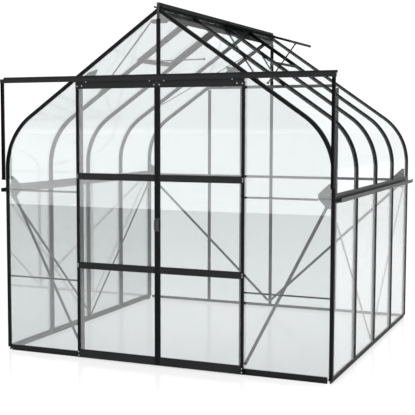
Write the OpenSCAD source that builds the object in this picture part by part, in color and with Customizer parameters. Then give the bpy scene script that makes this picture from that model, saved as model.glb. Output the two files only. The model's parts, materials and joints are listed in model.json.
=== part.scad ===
// Free-standing greenhouse with curved eaves, double sliding doors and two roof vents.
// Millimetres. X runs to the right, Y runs to the back, Z is up.
// The origin is the centre of the base, on the ground.

/* [House] */
// Distance between glazing bars, in both directions
bay_pitch = 621; // [560:1:700]
// Height of the outer roof line at the ridge
apex_z = 2523; // [2400:1:2900]
// Slope of the roof
roof_angle = 35; // [30:0.5:38]
// Outer radius of the bend at the eaves
bend_r = 490; // [300:1:540]
// Height of the joint between wall post and roof bar
post_top = 1300; // [1275:1:1340]
// Height of the gutter floor
gutter_z = 1207; // [1100:1:1215]
// Outward reach of the gutter
gutter_w = 45; // [30:1:60]

/* [Glazing bars] */
// Width of a glazing bar
bar_w = 28; // [22:1:36]
// Depth of a glazing bar
bar_d = 28; // [24:1:36]
// Wall of a glazing bar
bar_t = 3; // [2:0.5:4]
// Width of the gutter's and vents' clearance gaps
bar_gap = 0.5; // [0.3:0.1:0.9]

/* [Base] */
// Height of the side sill's shelf
shelf_z = 24; // [16:1:44]
// Height of the front sill
sill_h = 42; // [36:1:52]
// Height of the rear sill
rear_sill_h = 24; // [16:1:52]
// Reach of the front sill before the gable's face
sill_reach = 3; // [2:1:8]
// Width of the sill's inward foot
sill_foot = 26; // [22:1:40]
// Radius of the anchor bolt holes
anchor_r = 4.5; // [3:0.5:6]
// Distance from the anchor holes to the gable's bar line
anchor_inset = 93; // [60:1:200]

/* [Glass] */
// Thickness of the glass
glass_t = 4; // [3:0.5:5]
// Clearance of the glass in its slot
glass_gap = 0.3; // [0.2:0.1:0.6]
// Distance from the pane's edge to the bar's centre line
glass_edge = 5.5; // [4:0.5:8]
// Gap between two panes in one bay
pane_gap = 3; // [2:0.5:6]
// Height of the pane joint in the lower front
low_joint = 569; // [450:1:640]

/* [Doors] */
// Width of one door
door_w = 645; // [625:1:650]
// Height of the doors' lower edge
door_z = 6; // [4:1:12]
// Top of the doors' head plates
door_top = 2044; // [2020:1:2060]
// Underside of the doors' head plates
head_z = 1972; // [1920:1:1990]
// Clearance between the two doors
door_gap = 2; // [1:0.5:4]
// Width of a door stile
stile_w = 18; // [16:1:30]
// Thickness of a door
door_d = 18; // [16:1:20]
// Height of the doors' bottom rails
foot_rail = 56; // [50:1:70]
// Height of the doors' cross rails
rail_h = 43; // [34:1:56]
// Underside of the lower cross rail
rail_low = 667; // [560:1:760]
// Underside of the upper cross rail
rail_high = 1318; // [1200:1:1420]
// Clearance between the doors and the sill
door_clear = 2; // [1:0.5:4]
// Radius of a door roller
roller_r = 10; // [8:0.5:11]
// Width of a door roller
roller_w = 6; // [4:0.5:7]
// Radius of the roller's axle
axle_r = 3; // [2:0.5:4]
// Running clearance of the roller on its axle
axle_gap = 0.1; // [0.05:0.01:0.2]
// Distance from the door's edge to the roller
roller_inset = 48; // [30:1:120]

/* [Vents] */
// Length of a vent, from its hinge
vent_len = 548; // [420:1:620]
// Clearance over which a vent laps the bars on each side
vent_lap = 9; // [4:1:10]
// Height of a vent's frame
vent_h = 18; // [14:1:20]
// Clearance between the closed vent and the bars
vent_clear = 2; // [1:0.5:4]
// Opening of the right vent at rest
vent_open = 19.4; // [10:0.1:30]
// Radius of the hinge bead on the ridge
bead_r = 3; // [2.5:0.5:3.5]
// Length of a vent's stay
stay_len = 400; // [300:1:440]
// Angle between the lowered stay and the vent
stay_drop = 69; // [60:1:80]
// Angle through which the stay folds up under the vent
stay_fold = 62; // [40:1:64]

/* [Hidden] */
$fn = 48;
half = 2 * bay_pitch;
wall_x = half + bar_w - 2;
gable_y = half + bar_w / 2;
sa = sin(roof_angle);
ca = cos(roof_angle);
ta = tan(roof_angle);
bend_x = wall_x - bend_r;
bend_z = apex_z - ta * bend_x - bend_r / ca;
slope_end = (bend_x + bend_r * sa) / ca;
slot = glass_t + 2 * glass_gap;
glass_v = bar_t + glass_gap;
flange_v = bar_t + slot;
web = 6;
inner_drop = bar_d / ca;
post_z = shelf_z + bar_gap;
gable_post_z = max(sill_h, shelf_z) + bar_gap;
rear_post_z = max(rear_sill_h, shelf_z) + bar_gap;
ridge_half = 9;
hinge_reach = 21;
ridge_top = apex_z + 33;
ridge_low = apex_z - 78;
hinge_x = ridge_half + hinge_reach;
hinge_z = apex_z + 7;
hinge_n = hinge_x * sa + (hinge_z - apex_z) * ca;
hinge_s = hinge_x * ca - (hinge_z - apex_z) * sa;
vent_lo = vent_clear - hinge_n;
vent_hi = vent_lo + vent_h;
vent_w = bay_pitch - bar_w + 2 * vent_lap;
hook_r = bead_r + 0.3;
hook_t = 2.5;
rail_x = 16;
rail_w = 22;
vent_sill_s = hinge_s + vent_len - 14;
sill_w = 26;
pivot_x = vent_len - 43;
pivot_z = vent_lo - 4;
pin_r = 2.5;
stay_w = 9;
lug_t = 3;
vent_y = bay_pitch / 2;
sill_face = gable_y + sill_reach;
door_back = sill_face + door_clear;
door_face = door_back + door_d;
head_t = 3;
track_t = 3;
guide_inset = 30;
track_d = 20;
track_back = door_face + head_t + 2;
track_face = track_back + track_d;
track_low = door_top - 24;
track_len = 2 * half + 66;
drop_x = half + 8;
drop_w = 22;
roller_z = track_low + track_t + 0.3 + roller_r;
roller_y = track_back + 9;
header_lo = door_top - 24;
header_hi = header_lo + bar_w;
header_x = bay_pitch - bar_w / 2 - bar_gap;
eave_tie_z = 1228;
purlin_h = 46;
foot_x = wall_x - bar_d - bar_gap - 3;
anchor_x = foot_x - sill_foot / 2;
anchor_y = half - anchor_inset;
front_sill_x = foot_x - 5;
tab_w = 50;
head_r = 5;
head_h = 4;
plate_t = 3;
hole_r = 3.3;
gusset_x = wall_x - bar_d - bar_gap;
gusset_holes = [[gusset_x - 18, eave_tie_z + 69], [gusset_x - 18, eave_tie_z + 22],
  [gusset_x - 64, eave_tie_z + 7], [gusset_x - 16, eave_tie_z - 50]];
strip_w = 22;
strip_t = 2;
rear_bar_lo = apex_z - 473;
rear_bar_hi = rear_bar_lo + 28;

function inner_z(x) = apex_z - inner_drop - ta * x;
function inner_x(z) = (apex_z - inner_drop - z) / ta;

module both_x() {
  children();
  mirror([1, 0, 0]) children();
}

// Bar section: x is the depth from the outer face (negative inwards), y runs across the bar.
module sec_mid() {
  translate([-bar_t, -bar_w / 2]) square([bar_t, bar_w]);
  translate([-bar_d, -web / 2]) square([bar_d - bar_t / 2, web]);
  translate([-flange_v - bar_t, -bar_w / 2]) square([bar_t, bar_w]);
  translate([-bar_d, -web]) square([bar_t, 2 * web]);
}

// Corner section: the front leg holds the gable's glass as well.
module sec_end() {
  translate([-bar_t, -bar_w / 2]) square([bar_t, bar_w]);
  translate([-bar_d + bar_t, -bar_w / 2]) square([bar_d - bar_t, bar_t]);
  translate([-bar_d, -bar_w / 2 + flange_v]) square([bar_d - bar_t / 2, bar_t]);
  translate([-flange_v - bar_t, -bar_w / 2 + flange_v])
    square([bar_t, bar_w - flange_v]);
}

module wall_post(end) {
  translate([wall_x, 0, post_z])
    linear_extrude(post_top - post_z)
      if (end) sec_end(); else sec_mid();
}

module roof_bar(end) {
  translate([wall_x, 0, post_top + bar_gap])
    linear_extrude(bend_z - post_top - bar_gap)
      if (end) sec_end(); else sec_mid();
  translate([bend_x, 0, bend_z])
    rotate([90, 0, 0])
      rotate_extrude(angle = 90 - roof_angle)
        translate([bend_r, 0])
          mirror([0, 1])
            if (end) sec_end(); else sec_mid();
  difference() {
    translate([0, 0, apex_z])
      rotate([0, roof_angle, 0])
        translate([slope_end, 0, 0])
          rotate([0, -90, 0])
            linear_extrude(slope_end)
              if (end) sec_end(); else sec_mid();
    translate([-100, -50, ridge_low - 100])
      cube([100 + ridge_half + bar_gap, 100, 300]);
  }
}

module gable_bar(x, z0, z1) {
  translate([x, -gable_y, z0])
    rotate([0, 0, -90])
      linear_extrude(z1 - z0) sec_mid();
}

// House outline, taken in from the outer face by v.
module house_2d(v) {
  polygon([[-(wall_x - v), 0], [wall_x - v, 0], [wall_x - v, bend_z],
    [bend_x + (bend_r - v) * sa, bend_z + (bend_r - v) * ca],
    [0, apex_z - v / ca],
    [-(bend_x + (bend_r - v) * sa), bend_z + (bend_r - v) * ca],
    [-(wall_x - v), bend_z]]);
  for (k = [-1, 1])
    translate([k * bend_x, bend_z]) circle(bend_r - v, $fn = 96);
}

module gable_pane(x0, x1, z0, z1) {
  translate([0, -gable_y + glass_v + glass_t, 0])
    rotate([90, 0, 0])
      linear_extrude(glass_t)
        difference() {
          intersection() {
            house_2d(8);
            translate([x0, z0]) square([x1 - x0, z1 - z0]);
          }
          translate([-ridge_half - 1, ridge_low - 1])
            square([2 * ridge_half + 2, 200]);
        }
}

// A flat strip between two points of a plane.
module strip_2d(a, b, w) {
  translate(a)
    rotate(atan2(b[1] - a[1], b[0] - a[0]))
      translate([0, -w / 2])
        square([norm([b[0] - a[0], b[1] - a[1]]), w]);
}

module on_gable(y, t) {
  translate([0, y + t, 0]) rotate([90, 0, 0]) linear_extrude(t) children();
}

module on_wall(x, t) {
  translate([x, 0, 0]) rotate([90, 0, 90]) linear_extrude(t) children();
}

// Right slope: x runs down the slope from the ridge line, z is the height over the roof.
module on_slope(n, t) {
  translate([0, 0, apex_z])
    rotate([0, roof_angle, 0])
      translate([0, 0, n])
        linear_extrude(t) children();
}

module at_hinge(open) {
  translate([hinge_x, vent_y, hinge_z])
    rotate([0, roof_angle - open, 0]) children();
}

module sill_side() {
  shelf_x = wall_x;
  difference() {
    union() {
      translate([0, gable_y, 0])
        rotate([90, 0, 0])
          linear_extrude(2 * gable_y) {
            translate([foot_x, shelf_z - 3]) square([shelf_x - foot_x, 3]);
            translate([foot_x, 0]) square([3, shelf_z]);
            polygon([[foot_x + 8, shelf_z - 2], [foot_x + 11, shelf_z - 2],
              [foot_x + 20, 0], [foot_x + 17, 0]]);
            translate([wall_x - bar_t, shelf_z - 1]) square([bar_t, 12]);
            translate([wall_x - flange_v - bar_t, shelf_z - 1])
              square([bar_t, 12]);
          }
      for (k = [-1, 1])
        translate([foot_x - sill_foot, k * anchor_y - tab_w / 2, 0])
          cube([sill_foot + 3, tab_w, 3]);
    }
    for (k = [-2:2])
      translate([foot_x + 3, k * bay_pitch - bar_w / 2 - bar_gap, shelf_z])
        cube([bar_d + 10, bar_w + 2 * bar_gap, 40]);
    for (k = [-1, 1])
      translate([foot_x - 60, k * gable_y - 40, -1])
        cube([60 + 3.01, 80, sill_h + 2]);
    for (k = [-1, 1])
      translate([anchor_x, k * anchor_y, -1]) cylinder(r = anchor_r, h = 10);
  }
}

module sill_front(height) {
  translate([-front_sill_x, 0, 0])
    rotate([90, 0, 90])
      linear_extrude(2 * front_sill_x) {
        translate([-sill_face + 9, 0]) square([3, height]);
        translate([-sill_face, height - 6]) square([sill_reach + 14, 6]);
        translate([-sill_face, 0]) square([12, 6]);
      }
}

module gutter() {
  rotate([90, 0, 0])
    translate([0, 0, -half - 12])
      linear_extrude(2 * half + 24) {
        translate([wall_x, gutter_z]) square([3, purlin_h]);
        translate([wall_x, gutter_z]) square([gutter_w, 3]);
        translate([wall_x + gutter_w - 3, gutter_z]) square([3, 28]);
      }
  for (k = [-2:1])
    translate([0, (k + 1) * bay_pitch - bar_w / 2 - bar_gap, 0])
      rotate([90, 0, 0])
        linear_extrude(bay_pitch - bar_w - 2 * bar_gap) {
          translate([wall_x - bar_d, gutter_z]) square([bar_d + 1, 3]);
          translate([wall_x - bar_d, gutter_z + purlin_h - 3])
            square([bar_d + 1, 3]);
          translate([wall_x - bar_d, gutter_z]) square([3, purlin_h]);
          translate([wall_x - bar_t, gutter_z - 10]) square([bar_t, 11]);
          translate([wall_x - flange_v - bar_t, gutter_z - 10])
            square([bar_t, 11]);
          translate([wall_x - bar_t, gutter_z + purlin_h - 1])
            square([bar_t, 10]);
          translate([wall_x - flange_v - bar_t, gutter_z + purlin_h - 1])
            square([bar_t, 10]);
        }
}

module ridge() {
  rotate([90, 0, 0])
    translate([0, 0, -half - 14])
      linear_extrude(2 * half + 28) {
        translate([-ridge_half, ridge_low]) square([3, ridge_top - ridge_low]);
        translate([ridge_half - 3, ridge_low]) square([3, ridge_top - ridge_low]);
        translate([-ridge_half, ridge_top - 3]) square([2 * ridge_half, 3]);
        translate([-ridge_half, ridge_low]) square([2 * ridge_half, 3]);
        for (k = [-1, 1])
          translate([k * hinge_x, hinge_z]) {
            circle(bead_r);
            translate([-1, -9]) square([2, 9]);
          }
        translate([ridge_half - 1, hinge_z - 9])
          square([hinge_x - ridge_half + 2, 3]);
        translate([-hinge_x - 1, hinge_z - 9])
          square([hinge_x - ridge_half + 2, 3]);
      }
}

module vent_hook_2d() {
  difference() {
    circle(hook_r + hook_t);
    circle(hook_r);
    rotate(75)
      translate([-hook_r * 3, -hook_r * 3]) square([hook_r * 3, hook_r * 6]);
  }
  translate([hook_r + 1, -1.2]) square([rail_x - hook_r, 2.4]);
}

module vent_frame(open) {
  mid = (vent_lo + vent_hi) / 2;
  at_hinge(open) {
    translate([0, vent_w / 2, 0])
      rotate([90, 0, 0])
        linear_extrude(vent_w) vent_hook_2d();
    difference() {
      union() {
        translate([rail_x, -vent_w / 2, vent_lo])
          cube([vent_len - rail_x, vent_w, vent_h]);
        translate([rail_x, -vent_w / 2, vent_lo])
          cube([bar_t, vent_w, 1 - vent_lo]);
        translate([vent_len - 3, -vent_w / 2, vent_lo - 1.4])
          cube([3, vent_w, 3]);
      }
      translate([rail_x + rail_w, -vent_w / 2 + rail_w, vent_lo - 1])
        cube([vent_len - rail_x - 2 * rail_w, vent_w - 2 * rail_w, vent_h + 2]);
      translate([rail_x + rail_w - 10, -vent_w / 2 + rail_w - 10,
        mid - slot / 2])
        cube([vent_len - rail_x - 2 * rail_w + 20, vent_w - 2 * rail_w + 20,
          slot]);
    }
    for (k = [-1, 1])
      translate([pivot_x, k * 9 - lug_t / 2, pivot_z])
        difference() {
          union() {
            rotate([-90, 0, 0]) cylinder(r = pin_r + 3, h = lug_t);
            translate([-pin_r - 3, 0, 0])
              cube([2 * pin_r + 6, lug_t, vent_lo - pivot_z + 6]);
            translate([0, 0, vent_lo - pivot_z])
              cube([vent_len - rail_w - pivot_x + 1, lug_t, 6]);
          }
          translate([0, -1, 0])
            rotate([-90, 0, 0]) cylinder(r = pin_r + 0.1, h = 5);
        }
  }
}

module vent_glass(open) {
  mid = (vent_lo + vent_hi) / 2;
  at_hinge(open)
    translate([rail_x + rail_w - 8, -vent_w / 2 + rail_w - 8,
      mid - glass_t / 2])
      cube([vent_len - rail_x - 2 * rail_w + 16, vent_w - 2 * rail_w + 16,
        glass_t]);
}

module vent_stay(open, drop) {
  at_hinge(open)
    translate([pivot_x, 0, pivot_z]) {
      rotate([-90, 0, 0]) translate([0, 0, -13]) cylinder(r = pin_r, h = 26);
      for (k = [-13, 12])
        translate([0, k, 0]) rotate([-90, 0, 0]) cylinder(r = pin_r + 1.5, h = 1);
      rotate([0, 180 - drop, 0]) {
        translate([0, -stay_w / 2, -stay_w / 2])
          cube([stay_len - 10, stay_w, stay_w]);
        translate([stay_len - 10, 0, -9]) cylinder(r = 8, h = 18);
      }
    }
}

// One door, right leaf: x runs from the meeting edge outwards.
module door_stiles() {
  for (k = [0, 1])
    difference() {
      translate([door_gap / 2 + k * (door_w - stile_w), -door_face, door_z])
        cube([stile_w, door_d, head_z + 30 - door_z]);
      translate([door_gap / 2 + (k == 0 ? stile_w - 8 : door_w - stile_w - 1),
        -door_face + (door_d - slot) / 2, door_z + foot_rail - 10])
        cube([9, slot, head_z - door_z - foot_rail + 30]);
    }
}

module door_rail(z, h, lo, hi) {
  difference() {
    translate([door_gap / 2 + stile_w, -door_face, z])
      cube([door_w - 2 * stile_w, door_d, h]);
    if (lo)
      translate([door_gap / 2 + stile_w - 1, -door_face + (door_d - slot) / 2,
        z - 1])
        cube([door_w - 2 * stile_w + 2, slot, 9]);
    if (hi)
      translate([door_gap / 2 + stile_w - 1, -door_face + (door_d - slot) / 2,
        z + h - 8])
        cube([door_w - 2 * stile_w + 2, slot, 9]);
  }
}

module door_rails() {
  door_rail(door_z, foot_rail, false, true);
  door_rail(rail_low, rail_h, true, true);
  door_rail(rail_high, rail_h, true, true);
  door_rail(head_z, 30, true, false);
  translate([door_gap / 2, -door_face - head_t, head_z])
    cube([door_w, head_t, door_top - head_z]);
  for (x = [guide_inset, door_w - 2 * guide_inset])
    translate([x, -door_back, 12]) cube([30, door_clear + 7, 18]);
}

module door_pane(z0, z1) {
  translate([door_gap / 2 + stile_w - 6, -door_face + (door_d - glass_t) / 2,
    z0])
    cube([door_w - 2 * stile_w + 12, glass_t, z1 - z0]);
}

module door_glass() {
  door_pane(door_z + foot_rail - 6, rail_low + 6);
  door_pane(rail_low + rail_h - 6, rail_high + 6);
  door_pane(rail_high + rail_h - 6, head_z + 6);
}

module door_hanger(x) {
  translate([x, -door_face - head_t, roller_z])
    rotate([90, 0, 0]) {
      cylinder(r = axle_r, h = roller_y - door_face - head_t + roller_w / 2 + 2);
      cylinder(r = axle_r + 2, h = roller_y - door_face - head_t
        - roller_w / 2 - 0.3);
    }
  translate([x, -(roller_y + roller_w / 2 + 0.3), roller_z])
    rotate([90, 0, 0]) cylinder(r = axle_r + 1.5, h = 2);
}

module door_roller(x) {
  translate([x, -roller_y + roller_w / 2, roller_z])
    rotate([90, 0, 0])
      difference() {
        cylinder(r = roller_r, h = roller_w);
        translate([0, 0, -1])
          cylinder(r = axle_r + axle_gap, h = roller_w + 2);
      }
}

module door_handle() {
  translate([door_gap / 2 + 2, -door_face, 963]) {
    translate([0, -3, 0]) cube([stile_w - 4, 3, 95]);
    translate([4, -22, 15]) cube([6, 6, 65]);
    translate([4, -22, 15]) cube([6, 20, 6]);
    translate([4, -22, 74]) cube([6, 20, 6]);
  }
}

module track() {
  translate([-track_len / 2, 0, 0])
    rotate([90, 0, 90])
      linear_extrude(track_len) {
        translate([-track_face, track_low]) square([track_t, 29]);
        translate([-track_face, track_low]) square([track_d, track_t]);
        translate([-track_face, track_low + 26])
          square([track_face - gable_y - 0.3, track_t]);
        translate([-gable_y - 2.8, track_low + 26]) square([2.5, 18]);
      }
}

module eave_gusset() {
  on_gable(-gable_y + bar_d + bar_gap, plate_t)
    difference() {
      polygon([[gusset_x, eave_tie_z + 98], [gusset_x - 19, eave_tie_z + 98],
        [gusset_x - 92, eave_tie_z + 30], [gusset_x - 92, eave_tie_z - 3],
        [gusset_x - 33, eave_tie_z - 67], [gusset_x, eave_tie_z - 67]]);
      for (p = gusset_holes)
        translate(p) circle(hole_r);
    }
}

color("#26282a") sill_front(sill_h);  // front_sill

color("#26282a") mirror([0, 1, 0]) sill_front(rear_sill_h);  // rear_sill

color("#26282a") mirror([1, 0, 0]) sill_side();  // left_sill

color("#26282a") sill_side();  // right_sill

color("#26282a") mirror([1, 0, 0]) translate([0, -half, 0]) wall_post(true);  // left_front_post

color("#26282a") translate([0, -half, 0]) wall_post(true);  // right_front_post

color("#26282a") both_x() mirror([0, 1, 0])  // rear_corner_posts
    translate([0, -half, 0]) wall_post(true);

color("#26282a") mirror([1, 0, 0])  // left_wall_posts
    for (k = [-1:1]) translate([0, k * bay_pitch, 0]) wall_post(false);

color("#26282a")  // right_wall_posts
    for (k = [-1:1]) translate([0, k * bay_pitch, 0]) wall_post(false);

color("#26282a") mirror([1, 0, 0]) translate([0, -half, 0]) roof_bar(true);  // left_front_rafter

color("#26282a") translate([0, -half, 0]) roof_bar(true);  // right_front_rafter

color("#26282a") both_x() mirror([0, 1, 0])  // rear_rafters
    translate([0, -half, 0]) roof_bar(true);

color("#26282a") mirror([1, 0, 0])  // left_roof_bars
    for (k = [-1:1]) translate([0, k * bay_pitch, 0]) roof_bar(false);

color("#26282a")  // right_roof_bars
    for (k = [-1:1]) translate([0, k * bay_pitch, 0]) roof_bar(false);

color("#26282a") ridge();  // ridge_bar

color("#26282a") mirror([1, 0, 0]) gutter();  // left_gutter

color("#26282a") gutter();  // right_gutter

color("#26282a")  // left_door_post
    gable_bar(-bay_pitch, gable_post_z, inner_z(bay_pitch + bar_w / 2) - bar_gap);

color("#26282a")  // right_door_post
    gable_bar(bay_pitch, gable_post_z, inner_z(bay_pitch + bar_w / 2) - bar_gap);

color("#26282a")  // gable_post
    gable_bar(0, header_hi + bar_gap, ridge_low - bar_gap);

color("#26282a")  // pane_strips
    both_x()
      translate([bay_pitch + bar_w / 2 + bar_gap,
        -gable_y + glass_v + glass_t + glass_gap, low_joint - 6])
        cube([gusset_x - bay_pitch - bar_w / 2 - 2 * bar_gap, 3, 12]);

color("#26282a")  // door_header
    difference() {
      translate([-header_x, -gable_y, header_lo])
        cube([2 * header_x, bar_d, bar_w]);
      translate([-700, -gable_y + bar_t, header_hi - 8])
        cube([1400, slot, 9]);
      translate([-700, -gable_y + 14, header_lo + 3])
        cube([1400, bar_d, bar_w - 6]);
    }

color("#26282a") track();  // door_track

color("#26282a")  // track_brackets
    both_x() {
      difference() {
        translate([drop_x, -track_face, post_top])
          cube([drop_w, track_d - 2, track_low - post_top - bar_gap]);
        translate([drop_x + 3, -track_face - 1, post_top + 3])
          cube([drop_w - 6, track_d - 6, track_low - post_top - 8]);
      }
      translate([drop_x, -track_face + 2, post_top])
        cube([drop_w, track_face - 2 - gable_y, 3]);
      translate([drop_x, -gable_y - 3, post_top]) cube([16, 3, 26]);
    }

color("#26282a") {  // eave_ties
    both_x()
      on_gable(-gable_y + bar_d + bar_gap, 3)
        translate([bay_pitch - 10, eave_tie_z - 16])
          square([gusset_x - 93 - bay_pitch + 10, 14]);
    on_gable(gable_y - bar_d - bar_gap - 3, 3)
      translate([-gusset_x + 93, eave_tie_z - 12])
        square([2 * (gusset_x - 93), 24]);
  }

color("#26282a")  // rear_posts
    mirror([0, 1, 0]) {
      for (k = [-1, 1])
        gable_bar(k * bay_pitch, rear_post_z,
          inner_z(bay_pitch + bar_w / 2) - bar_gap);
      gable_bar(0, rear_post_z, ridge_low - bar_gap);
    }

color("#26282a")  // rear_crossbar
    on_gable(gable_y - bar_d - bar_gap - 4, 4)
      polygon([[-inner_x(rear_bar_lo) + 1, rear_bar_lo],
        [inner_x(rear_bar_lo) - 1, rear_bar_lo],
        [inner_x(rear_bar_hi) - 1, rear_bar_hi],
        [-inner_x(rear_bar_hi) + 1, rear_bar_hi]]);

color("#26282a")  // wall_braces
    both_x() {
      on_wall(wall_x - bar_d - bar_gap - strip_t, strip_t)
        strip_2d([6, 55], [half - 36, 1165], strip_w);
      on_wall(wall_x - bar_d - bar_gap - strip_t, strip_t)
        strip_2d([-6, 55], [-half + 36, 1165], strip_w);
    }

color("#26282a") {  // gable_braces
    both_x()
      on_gable(-gable_y + bar_d + bar_gap + plate_t + 0.3, strip_t)
        strip_2d([bay_pitch + 20, 62], [half - 36, 1172], strip_w);
    for (k = [-1, 1])
      on_gable(gable_y - bar_d - bar_gap - 3.5 - strip_t, strip_t)
        strip_2d([k * 12, 62], [k * (half - 32), 1190], strip_w);
  }

color("#26282a") {  // roof_braces
    on_slope(-bar_d - bar_gap - strip_t, strip_t) {
      strip_2d([60, 0], [slope_end - 328, -half + 6], strip_w);
      strip_2d([350, 132], [683, -383], strip_w);
    }
    mirror([1, 0, 0])
      on_slope(-bar_d - bar_gap - strip_t, strip_t) {
        strip_2d([98, -half + 30], [slope_end - 188, -bay_pitch], strip_w);
        strip_2d([98, half - 30], [slope_end - 188, bay_pitch], strip_w);
      }
  }

color("#26282a") {  // gussets
    both_x() eave_gusset();
    mirror([0, 1, 0]) both_x() eave_gusset();
    on_gable(-gable_y + bar_d + bar_gap, plate_t)
      polygon([[-71, ridge_low - 10], [-56, ridge_low - 30], [56, ridge_low - 30],
        [71, ridge_low - 10], [60, ridge_low - bar_gap],
        [-60, ridge_low - bar_gap]]);
    both_x()
      on_gable(-gable_y + bar_d + bar_gap, plate_t)
        polygon([[header_x - 116, header_hi + 62], [header_x - 86, header_hi - 8],
          [header_x - 6, header_hi - 8], [header_x - 6, header_hi + 18],
          [header_x - 46, header_hi + 44]]);
  }

color([0.8, 0.86, 0.86, 0.4])  // wall_glass
    both_x()
      for (k = [-2:1])
        translate([wall_x - glass_v - glass_t, k * bay_pitch + glass_edge,
          post_z])
          cube([glass_t, bay_pitch - 2 * glass_edge,
            gutter_z - post_z - bar_gap]);

color([0.8, 0.86, 0.86, 0.4])  // eave_glass
    both_x()
      for (k = [-2:1])
        translate([0, (k + 1) * bay_pitch - glass_edge, 0])
          rotate([90, 0, 0]) {
            translate([wall_x - glass_v - glass_t, gutter_z + purlin_h + bar_gap])
              cube([glass_t, bend_z - gutter_z - purlin_h - bar_gap,
                bay_pitch - 2 * glass_edge]);
            translate([bend_x, bend_z, 0])
              rotate_extrude(angle = 90 - roof_angle)
                translate([bend_r - glass_v - glass_t, 0])
                  square([glass_t, bay_pitch - 2 * glass_edge]);
          }

color([0.8, 0.86, 0.86, 0.4])  // roof_glass
    for (side = [0, 1])
      mirror([side, 0, 0])
        for (k = [-2:1])
          on_slope(-glass_v - glass_t, glass_t)
            translate([(k == -side) ? vent_sill_s + 4 : 32,
              k * bay_pitch + glass_edge])
              square([slope_end - pane_gap - ((k == -side)
                ? vent_sill_s + 4 : 32), bay_pitch - 2 * glass_edge]);

color([0.8, 0.86, 0.86, 0.4])  // front_glass
    both_x() {
      gable_pane(bay_pitch + glass_edge, wall_x - 8, gable_post_z,
        low_joint - pane_gap / 2);
      gable_pane(bay_pitch + glass_edge, wall_x - 8, low_joint + pane_gap / 2,
        eave_tie_z - pane_gap / 2);
      gable_pane(bay_pitch + glass_edge, wall_x - 8,
        eave_tie_z + pane_gap / 2, apex_z);
      gable_pane(glass_edge, bay_pitch - glass_edge - 10, header_hi - 7, apex_z);
    }

color([0.8, 0.86, 0.86, 0.4])  // rear_glass
    mirror([0, 1, 0])
      both_x() {
        gable_pane(bay_pitch + glass_edge, wall_x - 8, rear_post_z,
          eave_tie_z - pane_gap / 2);
        gable_pane(bay_pitch + glass_edge, wall_x - 8,
          eave_tie_z + pane_gap / 2, apex_z);
        gable_pane(glass_edge, bay_pitch - glass_edge, rear_post_z,
          eave_tie_z - pane_gap / 2);
        gable_pane(glass_edge, bay_pitch - glass_edge,
          eave_tie_z + pane_gap / 2, apex_z);
      }

color("#b8bcc0")  // frame_bolts
    both_x() {
      for (p = gusset_holes)
        translate([p[0], -gable_y + bar_d + bar_gap + plate_t + head_h, p[1]])
          rotate([90, 0, 0]) {
            cylinder(r = head_r, h = head_h, $fn = 6);
            cylinder(r = 2.5, h = head_h + plate_t);
          }
      for (z = [60, 600, 1180])
        translate([bay_pitch, -gable_y - 2, z])
          rotate([-90, 0, 0]) cylinder(r = 4, h = 2);
    }

color("#202224") mirror([1, 0, 0]) door_stiles();  // left_door_stiles

color("#202224") mirror([1, 0, 0]) door_rails();  // left_door_rails

color([0.8, 0.86, 0.86, 0.4]) mirror([1, 0, 0]) door_glass();  // left_door_glass

color("#b8bcc0") mirror([1, 0, 0]) {  // left_door_hangers
    door_hanger(roller_inset);
    door_hanger(door_w - roller_inset);
  }

color("#e8e8e4") mirror([1, 0, 0]) door_roller(roller_inset);  // left_door_front_roller

color("#e8e8e4") mirror([1, 0, 0]) door_roller(door_w - roller_inset);  // left_door_rear_roller

color("#181818") mirror([1, 0, 0]) door_handle();  // left_door_handle

color("#202224") door_stiles();  // right_door_stiles

color("#202224") door_rails();  // right_door_rails

color([0.8, 0.86, 0.86, 0.4]) door_glass();  // right_door_glass

color("#b8bcc0") {  // right_door_hangers
    door_hanger(roller_inset);
    door_hanger(door_w - roller_inset);
  }

color("#e8e8e4") door_roller(roller_inset);  // right_door_front_roller

color("#e8e8e4") door_roller(door_w - roller_inset);  // right_door_rear_roller

color("#181818") door_handle();  // right_door_handle

color("#26282a") rotate([0, 0, 180]) vent_frame(0);  // left_vent_frame

color([0.8, 0.86, 0.86, 0.4]) rotate([0, 0, 180]) vent_glass(0);  // left_vent_glass

color("#303234") rotate([0, 0, 180]) vent_stay(0, stay_drop - stay_fold);  // left_vent_stay

color("#26282a") vent_frame(vent_open);  // right_vent_frame

color([0.8, 0.86, 0.86, 0.4]) vent_glass(vent_open);  // right_vent_glass

color("#303234") vent_stay(vent_open, stay_drop);  // right_vent_stay

color("#26282a")  // vent_sills
    for (a = [0, 180])
      rotate([0, 0, a])
        translate([0, 0, apex_z])
          rotate([0, roof_angle, 0])
            translate([vent_sill_s, vent_y, 0])
              rotate([90, 0, 0])
                translate([0, 0, -(bay_pitch - bar_w) / 2 + bar_gap])
                  linear_extrude(bay_pitch - bar_w - 2 * bar_gap) {
                    translate([-sill_w / 2, -bar_t]) square([sill_w, bar_t]);
                    translate([-sill_w / 2, -flange_v - bar_t])
                      square([sill_w, bar_t]);
                    translate([-sill_w / 2, -flange_v - bar_t])
                      square([bar_t, flange_v + bar_t]);
                  }

color("#b8bcc0")  // vent_pegs
    for (a = [0, 180])
      rotate([0, 0, a])
        translate([0, 0, apex_z])
          rotate([0, roof_angle, 0])
            translate([vent_sill_s - sill_w / 2 - 3, vent_y + 40, -flange_v]) {
              cube([3, 20, 6]);
              translate([-4, 10, 0]) cylinder(r = 2.5, h = 8);
              translate([-4, 7, 0]) cube([5, 6, 3]);
            }
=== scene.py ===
"""Finishes, small fittings and studio for a free-standing greenhouse.

The metal frame, panes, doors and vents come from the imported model. This file
gives them their finishes and adds the fittings that go on them.
"""

import json
import math

import bmesh
import bpy
from mathutils import Matrix, Vector


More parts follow.
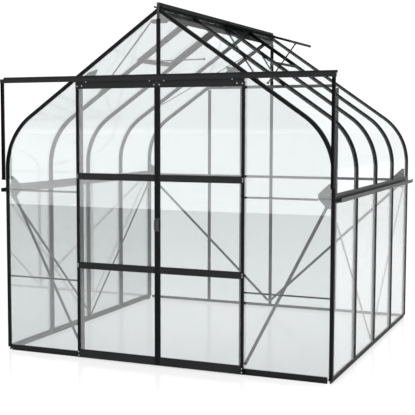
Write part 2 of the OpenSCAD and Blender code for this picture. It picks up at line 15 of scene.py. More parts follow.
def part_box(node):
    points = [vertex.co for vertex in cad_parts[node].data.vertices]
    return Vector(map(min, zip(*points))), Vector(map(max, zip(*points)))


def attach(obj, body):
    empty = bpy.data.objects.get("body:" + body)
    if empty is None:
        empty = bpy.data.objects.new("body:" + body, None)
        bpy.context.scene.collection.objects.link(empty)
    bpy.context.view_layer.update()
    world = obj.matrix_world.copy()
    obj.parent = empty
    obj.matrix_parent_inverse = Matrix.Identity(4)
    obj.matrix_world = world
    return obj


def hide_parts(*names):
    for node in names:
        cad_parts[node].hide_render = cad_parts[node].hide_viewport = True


bl_info = {
    "name": "Greenhouse finishes and fittings",
    "version": (1, 0, 0),
    "blender": (4, 5, 0),
    "location": "View3D > Sidebar > Greenhouse",
    "description": "Finishes, seals, screws and a studio for a greenhouse frame",
    "category": "Object",
}

MM = 0.001
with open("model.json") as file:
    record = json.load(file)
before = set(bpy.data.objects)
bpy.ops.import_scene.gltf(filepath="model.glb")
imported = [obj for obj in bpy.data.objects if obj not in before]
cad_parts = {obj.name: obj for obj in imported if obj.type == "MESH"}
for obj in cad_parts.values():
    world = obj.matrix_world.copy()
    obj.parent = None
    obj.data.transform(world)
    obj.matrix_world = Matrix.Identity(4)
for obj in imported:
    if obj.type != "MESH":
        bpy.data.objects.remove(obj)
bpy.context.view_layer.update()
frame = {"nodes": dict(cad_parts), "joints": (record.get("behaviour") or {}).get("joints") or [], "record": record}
RECORD = frame["record"]
SLOT_OF = {part["node"]: part["material_slot"] for part in RECORD["subparts"]}
JOINTS = {joint["name"]: joint for joint in frame["joints"]}
HOUSE = "house"
SIDES = (("left", -1), ("right", 1))

# Heights and insets that the fittings share with the frame, in metres.
DOOR_STILE = 18 * MM
PANE_ROWS = ((0.062, 0.667), (0.710, 1.318), (1.361, 1.972))
STILE_SCREW_INSET = DOOR_STILE / 2
STILE_SCREW_HEIGHTS = (0.020, 0.045, 0.680, 0.697, 1.331, 1.348)
# Bolts of a head plate: millimetres from the house's middle, and below its top.
PLATE_BOLTS_MM = ((21, 54), (55, 26), (560, 26), (594, 54), (633, 20), (633, 56))
NUT_HEIGHTS = (0.075, 1.190, 1.275)
NUT_ACROSS = 9 * MM
BAR_HALF = 14 * MM
RIDGE_HALF = 9 * MM
RIDGE_CAP = 3 * MM
TRACK_CAP = 2 * MM
TRACK_DEPTH = 20 * MM
TRACK_HEIGHT = 29 * MM
STAY_REACH = 390 * MM
STAY_HALF = 4.5 * MM
STAY_HOLE_HALF = 3.5 * MM
STAY_CHEEK = 2.2 * MM
KNOB_RADIUS = 8 * MM
KNOB_HALF = 9 * MM
FLOOR_HALF = 400.0


# ---------------------------------------------------------------- settings


class GreenhouseFinish(bpy.types.PropertyGroup):
    """Colours and glosses of the greenhouse's materials."""

    coat: bpy.props.StringProperty(
        name="Coat colour", description="sRGB hex of the powder coat", default="#0e0f10"
    )
    coat_roughness: bpy.props.FloatProperty(
        name="Coat roughness",
        description="Roughness of the powder coat",
        default=0.42,
        min=0.0,
        max=1.0,
        subtype="FACTOR",
    )
    rubber: bpy.props.StringProperty(
        name="Rubber colour", description="sRGB hex of the seals", default="#141414"
    )
    nylon: bpy.props.StringProperty(
        name="Nylon colour", description="sRGB hex of the rollers", default="#dcdad2"
    )


class GreenhouseFittings(bpy.types.PropertyGroup):
    """Sizes of the fittings added to the frame."""

    screw_radius: bpy.props.FloatProperty(
        name="Screw head radius",
        description="Radius of the pan heads on the doors",
        default=4.5 * MM,
        unit="LENGTH",
    )
    seal_width: bpy.props.FloatProperty(
        name="Seal width",
        description="Width of the rubber bead round the panes",
        default=3.0 * MM,
        unit="LENGTH",
    )
    hole_pitch: bpy.props.FloatProperty(
        name="Stay hole pitch",
        description="Distance between the holes of a vent stay",
        default=60.0 * MM,
        unit="LENGTH",
    )


class GreenhouseStudio(bpy.types.PropertyGroup):
    """Camera and light."""

    lens: bpy.props.FloatProperty(
        name="Lens", description="Focal length", default=85.0, subtype="DISTANCE_CAMERA"
    )
    shift: bpy.props.FloatProperty(
        name="Shift", description="Sideways shift of the lens", default=0.0753
    )
    eye: bpy.props.FloatVectorProperty(
        name="Eye",
        description="Place of the camera",
        default=(2.894, -7.493, 1.710),
        subtype="TRANSLATION",
    )
    yaw: bpy.props.FloatProperty(
        name="Yaw",
        description="Turn of the camera to the left",
        default=math.radians(23.84),
        subtype="ANGLE",
    )
    pitch: bpy.props.FloatProperty(
        name="Pitch",
        description="Downward tilt of the camera",
        default=math.radians(4.81),
        subtype="ANGLE",
    )
    sky: bpy.props.FloatProperty(
        name="Surroundings", description="Brightness of the room round the house", default=0.8
    )


# ---------------------------------------------------------------- materials


def srgb(text, alpha=1.0):
    """A hex colour as linear red, green, blue and alpha."""
    digits = text.lstrip("#")
    linear = []
    for i in (0, 2, 4):
        c = int(digits[i : i + 2], 16) / 255.0
        linear.append(c / 12.92 if c <= 0.04045 else ((c + 0.055) / 1.055) ** 2.4)
    return (*linear, alpha)


def add(tree, kind, settings=None, links=None):
    """A node with its settings, and links from input name or number to a socket."""
    node = tree.nodes.new(kind)
    for key, value in (settings or {}).items():
        if hasattr(node, str(key)) and not isinstance(key, int):
            setattr(node, key, value)
        else:
            node.inputs[key].default_value = value
    for key, socket in (links or {}).items():
        tree.links.new(socket, node.inputs[key])
    return node


def new_material(name):
    """An empty material with its output, and its tree."""
    material = bpy.data.materials.new(name)
    material.use_nodes = True
    tree = material.node_tree
    tree.nodes.clear()
    output = tree.nodes.new("ShaderNodeOutputMaterial")
    return material, tree, output


def per_metre(size_mm):
    """The scale that makes a pattern repeat at this size."""
    return 1000.0 / size_mm


def object_space(tree):
    """Object coordinates, in metres from the centre of the base."""
    return add(tree, "ShaderNodeTexCoord").outputs["Object"]


def powder_coat(name, colour, roughness, shine, grain_mm=2.5):
    """Aluminium with a baked polyester powder coat: satin, with the fine
    orange-peel of melted powder and a little dust on it."""
    material, tree, output = new_material(name)
    place = object_space(tree)
    # The real peel is under a millimetre; it is drawn coarser so that it shows.
    peel = add(
        tree,
        "ShaderNodeTexNoise",
        {"Scale": per_metre(grain_mm), "Detail": 3.0},
        {"Vector": place},
    )
    dust = add(
        tree,
        "ShaderNodeTexNoise",
        {"Scale": per_metre(240.0), "Detail": 5.0, "Roughness": 0.6},
        {"Vector": place},
    )
    base = Vector(srgb(colour)[:3])
    shade = add(
        tree,
        "ShaderNodeValToRGB",
        None,
        {"Fac": dust.outputs["Fac"]},
    )
    ramp = shade.color_ramp
    ramp.elements[0].position = 0.3
    ramp.elements[0].color = (*(base * 0.85), 1.0)
    ramp.elements[1].position = 0.75
    ramp.elements[1].color = (*(base * 1.25 + Vector((0.002, 0.002, 0.002))), 1.0)
    gloss = add(
        tree,
        "ShaderNodeMapRange",
        {"From Min": 0.3, "From Max": 0.7, "To Min": roughness - 0.05, "To Max": roughness + 0.1},
        {"Value": dust.outputs["Fac"]},
    )
    bump = add(
        tree,
        "ShaderNodeBump",
        {"Strength": 0.12, "Distance": 0.1 * MM},
        {"Height": peel.outputs["Fac"]},
    )
    shader = add(
        tree,
        "ShaderNodeBsdfPrincipled",
        {"Metallic": 0.0, "IOR": 1.5, "Specular IOR Level": shine},
        {
            "Base Color": shade.outputs["Color"],
            "Roughness": gloss.outputs["Result"],
            "Normal": bump.outputs["Normal"],
        },
    )
    tree.links.new(shader.outputs["BSDF"], output.inputs["Surface"])
    return material


def float_glass(name, tint, haze, mirror_share):
    """Clear horticultural float glass: sharp reflections that grow towards
    grazing angles, a green-grey tint and a thin film of dust."""
    material, tree, output = new_material(name)
    place = object_space(tree)
    film = add(
        tree,
        "ShaderNodeTexNoise",
        {"Scale": per_metre(600.0), "Detail": 6.0, "Roughness": 0.65},
        {"Vector": place},
    )
    clear = add(tree, "ShaderNodeBsdfTransparent", {"Color": srgb(tint)})
    mirror = add(tree, "ShaderNodeBsdfGlossy", {"Color": (1, 1, 1, 1), "Roughness": 0.015})
    fresnel = add(tree, "ShaderNodeFresnel", {"IOR": 1.5})
    share = add(
        tree,
        "ShaderNodeMath",
        {"operation": "MULTIPLY", 1: mirror_share},
        {0: fresnel.outputs["Fac"]},
    )
    pane = add(
        tree,
        "ShaderNodeMixShader",
        None,
        {0: share.outputs["Value"], 1: clear.outputs["BSDF"], 2: mirror.outputs["BSDF"]},
    )
    dust = add(tree, "ShaderNodeBsdfDiffuse", {"Color": srgb("#e6eaea")})
    cover = add(
        tree,
        "ShaderNodeMapRange",
        {"From Min": 0.3, "From Max": 0.75, "To Min": haze * 0.5, "To Max": haze * 1.5},
        {"Value": film.outputs["Fac"]},
    )
    whole = add(
        tree,
        "ShaderNodeMixShader",
        None,
        {0: cover.outputs["Result"], 1: pane.outputs["Shader"], 2: dust.outputs["BSDF"]},
    )
    tree.links.new(whole.outputs["Shader"], output.inputs["Surface"])
    return material


def zinc_steel(name):
    """Bright zinc-plated steel: pale grey metal with the faint cloud of the bath."""
    material, tree, output = new_material(name)
    place = object_space(tree)
    cloud = add(
        tree, "ShaderNodeTexNoise", {"Scale": per_metre(6.0), "Detail": 4.0}, {"Vector": place}
    )
    tone = add(tree, "ShaderNodeValToRGB", None, {"Fac": cloud.outputs["Fac"]})
    tone.color_ramp.elements[0].color = srgb("#9ea2a6")
    tone.color_ramp.elements[1].color = srgb("#d4d7da")
    gloss = add(
        tree,
        "ShaderNodeMapRange",
        {"To Min": 0.22, "To Max": 0.42},
        {"Value": cloud.outputs["Fac"]},
    )
    shader = add(
        tree,
        "ShaderNodeBsdfPrincipled",
        {"Metallic": 1.0},
        {"Base Color": tone.outputs["Color"], "Roughness": gloss.outputs["Result"]},
    )
    tree.links.new(shader.outputs["BSDF"], output.inputs["Surface"])
    return material


def moulded(name, colour, roughness, grain_mm, depth_mm):
    """A moulded plastic or rubber: even colour, a soft sheen and the mould's grain."""
    material, tree, output = new_material(name)
    place = object_space(tree)
    grain = add(
        tree,
        "ShaderNodeTexVoronoi",
        {"Scale": per_metre(grain_mm)},
        {"Vector": place},
    )
    cloud = add(
        tree, "ShaderNodeTexNoise", {"Scale": per_metre(30.0), "Detail": 3.0}, {"Vector": place}
    )
    base = Vector(srgb(colour)[:3])
    tone = add(tree, "ShaderNodeValToRGB", None, {"Fac": cloud.outputs["Fac"]})
    tone.color_ramp.elements[0].color = (*(base * 0.88), 1.0)
    tone.color_ramp.elements[1].color = (*(base * 1.12), 1.0)
    gloss = add(
        tree,
        "ShaderNodeMapRange",
        {"To Min": roughness - 0.06, "To Max": roughness + 0.08},
        {"Value": cloud.outputs["Fac"]},
    )
    bump = add(
        tree,
        "ShaderNodeBump",
        {"Strength": 0.25, "Distance": depth_mm * MM},
        {"Height": grain.outputs["Distance"]},
    )
    shader = add(
        tree,
        "ShaderNodeBsdfPrincipled",
        {"IOR": 1.5},
        {
            "Base Color": tone.outputs["Color"],
            "Roughness": gloss.outputs["Result"],
            "Normal": bump.outputs["Normal"],
        },
    )
    tree.links.new(shader.outputs["BSDF"], output.inputs["Surface"])
    return material


def brush_pile(name):
    """Polypropylene brush pile: matt black bristles standing side by side."""
    material, tree, output = new_material(name)
    place = object_space(tree)
    # Bristles are a tenth of a millimetre; they are drawn in tufts of 1.5 mm.
    tufts = add(
        tree, "ShaderNodeTexNoise", {"Scale": per_metre(1.5), "Detail": 1.0}, {"Vector": place}
    )
    tone = add(tree, "ShaderNodeValToRGB", None, {"Fac": tufts.outputs["Fac"]})
    tone.color_ramp.elements[0].color = srgb("#0c0c0c")
    tone.color_ramp.elements[1].color = srgb("#2c2c2c")
    bump = add(
        tree,
        "ShaderNodeBump",
        {"Strength": 0.6, "Distance": 0.4 * MM},
        {"Height": tufts.outputs["Fac"]},
    )
    shader = add(
        tree,
        "ShaderNodeBsdfPrincipled",
        {"Roughness": 0.9, "Sheen Weight": 0.3},
        {"Base Color": tone.outputs["Color"], "Normal": bump.outputs["Normal"]},
    )
    tree.links.new(shader.outputs["BSDF"], output.inputs["Surface"])
    return material


def studio_floor(name):
    """Pale polished floor: white paint with a low sheen."""
    material, tree, output = new_material(name)
    place = object_space(tree)
    cloud = add(
        tree, "ShaderNodeTexNoise", {"Scale": per_metre(900.0), "Detail": 4.0}, {"Vector": place}
    )
    gloss = add(
        tree,
        "ShaderNodeMapRange",
        {"To Min": 0.1, "To Max": 0.16},
        {"Value": cloud.outputs["Fac"]},
    )
    # The glow grows outwards, so that the floor meets the white room unseen.
    reach = add(tree, "ShaderNodeVectorMath", {"operation": "LENGTH"}, {0: place})
    glow = add(
        tree,
        "ShaderNodeMapRange",
        {"From Min": 3.0, "From Max": 14.0, "To Min": 0.54, "To Max": 0.6},
        {"Value": reach.outputs["Value"]},
    )
    shader = add(
        tree,
        "ShaderNodeBsdfPrincipled",
        {"Base Color": srgb("#b0b0b0"), "IOR": 1.35, "Emission Color": (1, 1, 1, 1)},
        {"Roughness": gloss.outputs["Result"], "Emission Strength": glow.outputs["Result"]},
    )
    tree.links.new(shader.outputs["BSDF"], output.inputs["Surface"])
    return material


MATERIALS = {}


# ---------------------------------------------------------------- modelling


def finish_piece(name, shape, material, body):
    """The bmesh as an object that rides on a body, in that material."""
    bmesh.ops.remove_doubles(shape, verts=shape.verts, dist=1e-6)
    bmesh.ops.recalc_face_normals(shape, faces=shape.faces)
    mesh = bpy.data.meshes.new(name)
    shape.to_mesh(mesh)
    shape.free()
    piece = bpy.data.objects.new(name, mesh)
    bpy.context.scene.collection.objects.link(piece)
    mesh.materials.append(MATERIALS[material])
    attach(piece, body)
    return piece


def soften(shape, verts, width, segments=2):
    """Rounds every edge between these vertices."""
    chosen = set(verts)
    edges = [e for e in shape.edges if all(v in chosen for v in e.verts)]
    bmesh.ops.bevel(
        shape,
        geom=edges,
        offset=width,
        offset_type="OFFSET",
        segments=segments,
        profile=0.5,
        affect="EDGES",
        material=-1,
    )


def block(shape, low, high, edge=0.0):
    """A box between two corners, with its edges rounded."""
    low, high = Vector(low), Vector(high)
    place = Matrix.Translation((low + high) / 2) @ Matrix.Diagonal((*(high - low), 1.0))
    made = bmesh.ops.create_cube(shape, size=1.0, matrix=place)["verts"]
    if edge:
        soften(shape, made, edge)


def along(direction, place):
    """A matrix at place whose Z axis points along direction."""
    turn = Vector(direction).to_track_quat("Z", "Y").to_matrix().to_4x4()
    return Matrix.Translation(Vector(place)) @ turn


def turned(shape, outline, matrix, steps=24):
    """Spins an outline of (radius, height) points about Z and places it."""
    before = set(shape.verts)
    chain = [shape.verts.new((r, 0.0, z)) for r, z in outline]
    edges = [shape.edges.new(pair) for pair in zip(chain, chain[1:])]
    bmesh.ops.spin(
        shape,
        geom=chain + edges,
        cent=(0, 0, 0),
        axis=(0, 0, 1),
        angle=math.tau,
        steps=steps,
        use_merge=True,
        use_duplicate=False,
    )
    fresh = [v for v in shape.verts if v not in before]
    bmesh.ops.transform(shape, matrix=matrix, verts=fresh)


def pan_head(shape, place, direction, radius):
    """A pan-head screw with a cross recess."""
    height = radius * 0.62
    outline = [
        (0.0, height * 0.55),
        (radius * 0.22, height * 0.6),
        (radius * 0.3, height),
        (radius * 0.72, height * 0.94),
        (radius * 0.95, height * 0.6),
        (radius, height * 0.15),
        (radius, 0.0),
        (0.0, 0.0),
    ]
    turned(shape, outline, along(direction, place), steps=16)


def hex_nut(shape, place, direction, across):
    """A hexagon nut with a chamfered face and the end of its screw."""
    matrix = along(direction, place)
    made = bmesh.ops.create_cone(
        shape,
        cap_ends=True,
        segments=6,
        radius1=across / 2 / math.cos(math.pi / 6),
        radius2=across / 2 / math.cos(math.pi / 6),
        depth=across * 0.5,
        matrix=matrix @ Matrix.Translation((0, 0, across * 0.25)),
    )["verts"]
    soften(shape, made, across * 0.06, 1)
    bmesh.ops.create_cone(
        shape,
        cap_ends=True,
        segments=12,
        radius1=across * 0.28,
        radius2=across * 0.24,
        depth=across * 0.5,
        matrix=matrix @ Matrix.Translation((0, 0, across * 0.45)),
    )


# ---------------------------------------------------------------- operators


class GREENHOUSE_OT_finishes(bpy.types.Operator):
    """Gives every part of the frame its material"""

    bl_idname = "greenhouse.finishes"
    bl_label = "Finishes"

    def execute(self, context):
        look = context.scene.greenhouse_finish
        MATERIALS.update(
            coat=powder_coat("powder_coated_aluminium", look.coat, look.coat_roughness, 0.06),
            # The rail, gutter and strip coats are lighter, shinier copies of the one black powder coat: painted
            # light on faces that turn up to the light.
            rail=powder_coat("powder_coat_painted_light_rail", "#1c1d1e", look.coat_roughness, 0.1),
            gutter=powder_coat("powder_coat_painted_light_gutter", "#202122", look.coat_roughness, 0.3),
            strip=powder_coat("powder_coat_painted_light_strip", "#232527", look.coat_roughness, 0.25),
            glass=float_glass("gable_float_glass", "#e7e9e9", 0.012, 1.9),
            side=float_glass("side_float_glass", "#f2f3f3", 0.006, 0.5),
            roof=float_glass("bent_and_roof_float_glass", "#feffff", 0.002, 0.12),
            zinc=zinc_steel("zinc_plated_steel"),
            rubber=moulded("epdm_rubber", look.rubber, 0.62, 1.2, 0.08),
            nylon=moulded("moulded_nylon", look.nylon, 0.4, 1.6, 0.04),
            plastic=moulded("moulded_polypropylene", "#121212", 0.5, 1.4, 0.08),
            grip=moulded("moulded_polyamide", "#363738", 0.5, 1.4, 0.06),
            brush=brush_pile("brush_pile"),
        )
        by_slot = {
            "coated_frame": "coat",
            "coated_door": "coat",
            "coated_gutter": "gutter",
            "coated_strip": "strip",
            "clear_glass": "glass",
            "zinc_steel": "zinc",
            "nylon": "nylon",
            "black_plastic": "plastic",
        }
        for name, part in frame["nodes"].items():
            kind = by_slot[SLOT_OF[name]]
            if name.endswith("_rails") or name in ("door_track", "front_sill"):
                kind = "rail"
            if kind == "glass" and "door" not in name and name != "front_glass":
                kind = "side" if name == "wall_glass" else "roof"
            for spot in part.material_slots:
                spot.material = MATERIALS[kind]
            if not part.material_slots:
                part.data.materials.append(MATERIALS[kind])
        return {"FINISHED"}


class GREENHOUSE_OT_door_screws(bpy.types.Operator):
    """Pan-head screws down both doors' outer stiles and on their head plates"""

    bl_idname = "greenhouse.door_screws"
    bl_label = "Door screws"

    def execute(self, context):
        radius = context.scene.greenhouse_fittings.screw_radius
        for side, sign in SIDES:
            rails_low, rails_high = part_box(f"{side}_door_rails")
            stiles_low, stiles_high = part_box(f"{side}_door_stiles")
            face = stiles_low[1]
            plate = rails_low[1]
            shape = bmesh.new()
            edge = stiles_high[0] if sign > 0 else stiles_low[0]
            outer = edge - sign * STILE_SCREW_INSET
            for z in STILE_SCREW_HEIGHTS:
                pan_head(shape, (outer, face, z), (0, -1, 0), radius)
            top = rails_high[2]
            for x, drop in PLATE_BOLTS_MM:
                pan_head(shape, (sign * x * MM, plate, top - drop * MM), (0, -1, 0), radius)
            finish_piece(f"{side}_door_screws", shape, "zinc", f"{side}_door")
        return {"FINISHED"}


class GREENHOUSE_OT_pane_seals(bpy.types.Operator):
    """Rubber beads round the panes of both doors"""

    bl_idname = "greenhouse.pane_seals"
    bl_label = "Pane seals"

    def execute(self, context):
        width = context.scene.greenhouse_fittings.seal_width
        for side in ("left", "right"):
            low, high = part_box(f"{side}_door_stiles")
            x0, x1 = low[0] + DOOR_STILE, high[0] - DOOR_STILE
            glass_low, glass_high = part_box(f"{side}_door_glass")
            shape = bmesh.new()
            for z0, z1 in PANE_ROWS:
                for y0, y1 in (
                    (glass_low[1] - 3 * MM, glass_low[1]),
                    (glass_high[1], glass_high[1] + 3 * MM),
                ):
                    block(shape, (x0, y0, z0), (x0 + width, y1, z1), 0.8 * MM)
                    block(shape, (x1 - width, y0, z0), (x1, y1, z1), 0.8 * MM)
                    block(shape, (x0 + width, y0, z0), (x1 - width, y1, z0 + width), 0.8 * MM)
                    block(shape, (x0 + width, y0, z1 - width), (x1 - width, y1, z1), 0.8 * MM)
            finish_piece(f"{side}_door_seals", shape, "rubber", f"{side}_door")
        return {"FINISHED"}


class GREENHOUSE_OT_brush_seals(bpy.types.Operator):
    """Brush strips on the doors' back edges"""

    bl_idname = "greenhouse.brush_seals"
    bl_label = "Brush seals"

    def execute(self, context):
        for side, sign in SIDES:
            low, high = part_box(f"{side}_door_stiles")
            outer = high[0] if sign > 0 else low[0]
            shape = bmesh.new()
            x0, x1 = sorted((outer - sign * 4 * MM, outer - sign * 9 * MM))
            tips = high[1] + 1.5 * MM
            block(shape, (x0, high[1], 0.07), (x1, tips, high[2] - 0.04), 0.4 * MM)
            finish_piece(f"{side}_door_brush", shape, "brush", f"{side}_door")
        return {"FINISHED"}


class GREENHOUSE_OT_handles(bpy.types.Operator):
    """Moulded pull handles with rounded grips"""

    bl_idname = "greenhouse.handles"
    bl_label = "Door handles"

    def execute(self, context):
        for side in ("left", "right"):
            node = f"{side}_door_handle"
            low, high = (Vector(c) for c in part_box(node))
            shape = bmesh.new()
            block(shape, (low.x, high.y - 3 * MM, low.z), high, 1.2 * MM)
            middle = (low.x + high.x) / 2
            grip = 5 * MM
            block(
                shape,
                (middle - grip, low.y, low.z + 12 * MM),
                (middle + grip, low.y + 7 * MM, high.z - 12 * MM),
                2.6 * MM,
            )
            for z in (low.z + 17 * MM, high.z - 17 * MM):
                block(
                    shape,
                    (middle - grip, low.y + 2 * MM, z - 4 * MM),
                    (middle + grip, high.y - 2 * MM, z + 4 * MM),
                    1.4 * MM,
                )
            for z in (low.z + 6 * MM, high.z - 6 * MM):
                pan_head(shape, (middle, high.y - 3 * MM, z), (0, -1, 0), 3 * MM)
            piece = finish_piece(
                f"{side}_door_pull", shape, "grip", f"{side}_door"
            )
            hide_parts(node)
        return {"FINISHED"}


class GREENHOUSE_OT_rollers(bpy.types.Operator):
    """Grooved nylon rollers"""

    bl_idname = "greenhouse.rollers"
    bl_label = "Door rollers"

    def execute(self, context):
        for side in ("left", "right"):
            for end in ("front", "rear"):
                node = f"{side}_door_{end}_roller"
                low, high = (Vector(c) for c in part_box(node))
                middle = (low + high) / 2
                r = (high.x - low.x) / 2
                w = (high.y - low.y) / 2
                bore = 3.1 * MM
                outline = [
                    (bore, -w),
                    (r * 0.55, -w),
                    (r * 0.62, -w * 0.7),
                    (r * 0.84, -w * 0.7),
                    (r * 0.9, -w),
                    (r * 0.97, -w * 0.9),
                    (r, -w * 0.6),
                    (r, w * 0.6),
                    (r * 0.97, w * 0.9),
                    (r * 0.9, w),
                    (r * 0.84, w * 0.7),
                    (r * 0.62, w * 0.7),
                    (r * 0.55, w),
                    (bore, w),
                    (bore, -w),
                ]
                shape = bmesh.new()
                turned(shape, outline, along((0, -1, 0), middle), steps=40)
                piece = finish_piece(
                    f"{side}_{end}_wheel", shape, "nylon", f"{side}_{end}_roller"
                )
                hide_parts(node)
        return {"FINISHED"}


class GREENHOUSE_OT_base_nuts(bpy.types.Operator):
    """Nuts that clamp the posts to the sills and eaves rails"""

    bl_idname = "greenhouse.base_nuts"
    bl_label = "Frame nuts"

    def execute(self, context):
        post_low, post_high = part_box("right_wall_posts")
        corner_low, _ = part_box("right_front_post")
        _, rear_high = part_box("rear_corner_posts")
        inner = post_low[0]
        rows = [corner_low[1] + BAR_HALF, rear_high[1] - BAR_HALF]
        middle = (post_low[1] + post_high[1]) / 2
        rows += [post_low[1] + BAR_HALF, middle, post_high[1] - BAR_HALF]
        for side, sign in SIDES:
            shape = bmesh.new()
            for y in rows:
                for z in NUT_HEIGHTS:
                    hex_nut(shape, (sign * inner, y, z), (-sign, 0, 0), NUT_ACROSS)
            finish_piece(f"{side}_wall_nuts", shape, "zinc", HOUSE)
        return {"FINISHED"}


class GREENHOUSE_OT_end_caps(bpy.types.Operator):
    """Plastic caps on the ridge and on the door track"""

    bl_idname = "greenhouse.end_caps"
    bl_label = "End caps"

    def execute(self, context):
        low, high = (Vector(c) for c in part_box("ridge_bar"))
        shape = bmesh.new()
        for y0, y1 in ((low.y - RIDGE_CAP, low.y), (high.y, high.y + RIDGE_CAP)):
            block(shape, (-RIDGE_HALF, y0, low.z), (RIDGE_HALF, y1, high.z), 1.2 * MM)
        finish_piece("ridge_caps", shape, "plastic", HOUSE)
        low, high = (Vector(c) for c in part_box("door_track"))
        shape = bmesh.new()
        back = low.y + TRACK_DEPTH
        top = low.z + TRACK_HEIGHT
        for x0, x1 in ((low.x - TRACK_CAP, low.x), (high.x, high.x + TRACK_CAP)):
            block(shape, (x0, low.y, low.z), (x1, back, top), 0.8 * MM)
        finish_piece("track_caps", shape, "plastic", HOUSE)
        return {"FINISHED"}


class GREENHOUSE_OT_stays(bpy.types.Operator):
    """Vent stays: strips with peg holes and a round knob"""

    bl_idname = "greenhouse.stays"
    bl_label = "Vent stays"

    def execute(self, context):
        pitch = context.scene.greenhouse_fittings.hole_pitch
        for side, sign in SIDES:
            node = f"{side}_vent_stay"
            hinge = JOINTS[f"{side}_stay_hinge"]
            pivot = Vector(hinge["pos_m"])
            low, high = (Vector(c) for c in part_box(node))
            # The strip points from its pivot to the far corner of its box, less
            # the half width that the knob takes there.
            far = Vector((low.x if sign > 0 else high.x, pivot.y, low.z))
            guess = far - pivot
            for _ in range(20):
                axis = Vector((guess.x, 0, guess.z)).normalized()
                across = Vector((axis.z, 0, -axis.x))
                ease = abs(across.x) * KNOB_HALF + abs(axis.x) * KNOB_RADIUS
                drop = abs(across.z) * KNOB_HALF + abs(axis.z) * KNOB_RADIUS
                guess = Vector((far.x + sign * ease - pivot.x, 0, far.z + drop - pivot.z))
            axis = Vector((guess.x, 0, guess.z)).normalized()
            turn = Matrix.Translation(pivot) @ axis.to_track_quat("X", "Z").to_matrix().to_4x4()
            shape = bmesh.new()
            # A strip is a row of cells, so that each hole is a gap between two edges.
            count = int(STAY_REACH / pitch)
            edges = [0.0]
            for k in range(count):
                middle = pitch * (k + 0.5)
                edges += [middle - STAY_HOLE_HALF, middle + STAY_HOLE_HALF]
            edges.append(STAY_REACH)
            for start, end in zip(edges[::2], edges[1::2]):
                block(shape, (start, -STAY_HALF, -STAY_HALF), (end, STAY_HALF, STAY_HALF))
            for start, end in zip(edges[1:-1:2], edges[2:-1:2]):
                for y0, y1 in ((-STAY_HALF, -STAY_CHEEK), (STAY_CHEEK, STAY_HALF)):
                    block(shape, (start, y0, -STAY_HALF), (end, y1, STAY_HALF))
            bmesh.ops.transform(shape, matrix=turn, verts=shape.verts)
            outline = [
                (0.0, -9 * MM),
                (5.5 * MM, -9 * MM),
                (7.4 * MM, -7.5 * MM),
                (8 * MM, -3 * MM),
                (7.2 * MM, 0.0),
                (8 * MM, 3 * MM),
                (7.4 * MM, 7.5 * MM),
                (5.5 * MM, 9 * MM),
                (0.0, 9 * MM),
            ]
            end = turn @ Matrix.Translation((STAY_REACH, 0, 0))
            turned(shape, outline, end)
            pin = [
                (0.0, -13 * MM),
                (4 * MM, -13 * MM),
                (4 * MM, -12 * MM),
                (2.5 * MM, -12 * MM),
                (2.5 * MM, 12 * MM),
                (4 * MM, 12 * MM),
                (4 * MM, 13 * MM),
                (0.0, 13 * MM),
            ]
            turned(shape, pin, along((0, 1, 0), pivot))
            piece = finish_piece(
                f"{side}_vent_prop", shape, "strip", f"{side}_stay"
            )
            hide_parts(node)
        return {"FINISHED"}


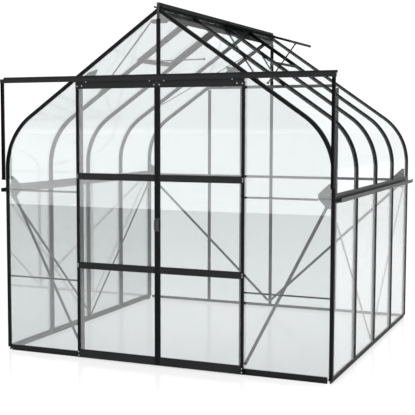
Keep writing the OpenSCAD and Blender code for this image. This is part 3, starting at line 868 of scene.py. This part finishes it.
class GREENHOUSE_OT_studio(bpy.types.Operator):
    """Floor, soft light, surroundings and camera"""

    bl_idname = "greenhouse.studio"
    bl_label = "Studio"

    def execute(self, context):
        scene = context.scene
        studio = scene.greenhouse_studio
        shape = bmesh.new()
        bmesh.ops.create_grid(shape, x_segments=1, y_segments=1, size=FLOOR_HALF)
        mesh = bpy.data.meshes.new("studio_floor")
        shape.to_mesh(mesh)
        shape.free()
        floor = bpy.data.objects.new("studio_floor", mesh)
        mesh.materials.append(studio_floor("white_painted_floor"))
        scene.collection.objects.link(floor)

        world = bpy.data.worlds.new("white_room")
        world.use_nodes = True
        scene.world = world
        tree = world.node_tree
        tree.nodes.clear()
        coords = add(tree, "ShaderNodeTexCoord")
        height = add(
            tree, "ShaderNodeSeparateXYZ", None, {"Vector": coords.outputs["Generated"]}
        )
        wall = add(tree, "ShaderNodeValToRGB", None, {"Fac": height.outputs["Z"]})
        wall.color_ramp.elements[0].color = (0.55, 0.56, 0.56, 1.0)
        wall.color_ramp.elements[1].color = (1.0, 1.0, 1.0, 1.0)
        room = add(
            tree,
            "ShaderNodeBackground",
            {"Strength": studio.sky},
            {"Color": wall.outputs["Color"]},
        )
        backdrop = add(tree, "ShaderNodeBackground", {"Color": (1, 1, 1, 1), "Strength": 1.05})
        ray = add(tree, "ShaderNodeLightPath")
        seen = add(
            tree,
            "ShaderNodeMath",
            {"operation": "MAXIMUM"},
            {0: ray.outputs["Is Camera Ray"], 1: ray.outputs["Is Transmission Ray"]},
        )
        mix = add(
            tree,
            "ShaderNodeMixShader",
            None,
            {
                0: seen.outputs["Value"],
                1: room.outputs["Background"],
                2: backdrop.outputs["Background"],
            },
        )
        output = tree.nodes.new("ShaderNodeOutputWorld")
        tree.links.new(mix.outputs["Shader"], output.inputs["Surface"])

        def softbox(name, place, aim, size, power):
            lamp = bpy.data.lights.new(name, "AREA")
            lamp.shape = "RECTANGLE"
            lamp.size, lamp.size_y = size
            lamp.energy = power
            body = bpy.data.objects.new(name, lamp)
            body.location = place
            body.rotation_euler = (
                (Vector(aim) - Vector(place)).to_track_quat("-Z", "Y").to_euler()
            )
            scene.collection.objects.link(body)
            return body

        softbox("overhead_softbox", (0.5, -1.0, 8.5), (0, 0, 0), (16, 16), 900)
        softbox("right_softbox", (9.0, 2.0, 3.2), (0, 1.0, 1.4), (12, 6), 700)
        card = softbox("front_card", (-3.0, -7.25, 2.55), (-3.0, 0, 2.55), (8, 4), 166)
        card.visible_camera = False

        camera = bpy.data.cameras.new("view")
        camera.lens = studio.lens
        camera.sensor_width = 36.0
        camera.shift_x = studio.shift
        camera.clip_end = 200.0
        stand = bpy.data.objects.new("view", camera)
        stand.location = studio.eye
        stand.rotation_euler = (math.pi / 2 - studio.pitch, 0.0, studio.yaw)
        scene.collection.objects.link(stand)
        scene.camera = stand
        scene.view_settings.view_transform = "Standard"
        return {"FINISHED"}


class GREENHOUSE_PT_panel(bpy.types.Panel):
    """Lists the greenhouse's steps in the sidebar"""

    bl_idname = "GREENHOUSE_PT_panel"
    bl_label = "Greenhouse"
    bl_space_type = "VIEW_3D"
    bl_region_type = "UI"
    bl_category = "Greenhouse"

    def draw(self, context):
        for group in ("greenhouse_finish", "greenhouse_fittings", "greenhouse_studio"):
            settings = getattr(context.scene, group)
            box = self.layout.box()
            for key in settings.__annotations__:
                box.prop(settings, key)
        for step in OPERATORS:
            self.layout.operator(step.bl_idname)


OPERATORS = (
    GREENHOUSE_OT_finishes,
    GREENHOUSE_OT_door_screws,
    GREENHOUSE_OT_pane_seals,
    GREENHOUSE_OT_brush_seals,
    GREENHOUSE_OT_handles,
    GREENHOUSE_OT_rollers,
    GREENHOUSE_OT_base_nuts,
    GREENHOUSE_OT_end_caps,
    GREENHOUSE_OT_stays,
    GREENHOUSE_OT_studio,
)
GROUPS = {
    "greenhouse_finish": GreenhouseFinish,
    "greenhouse_fittings": GreenhouseFittings,
    "greenhouse_studio": GreenhouseStudio,
}


def register():
    """Adds the classes and their settings to Blender."""
    for group in GROUPS.values():
        bpy.utils.register_class(group)
    for step in OPERATORS:
        bpy.utils.register_class(step)
    bpy.utils.register_class(GREENHOUSE_PT_panel)
    for name, group in GROUPS.items():
        setattr(bpy.types.Scene, name, bpy.props.PointerProperty(type=group))


def unregister():
    """Takes them out again."""
    for name in GROUPS:
        delattr(bpy.types.Scene, name)
    bpy.utils.unregister_class(GREENHOUSE_PT_panel)
    for step in reversed(OPERATORS):
        bpy.utils.unregister_class(step)
    for group in reversed(list(GROUPS.values())):
        bpy.utils.unregister_class(group)


def main():
    """Runs every step in order."""
    register()
    for step in OPERATORS:
        area, name = step.bl_idname.split(".")
        getattr(getattr(bpy.ops, area), name)()


if __name__ == "__main__":
    main()
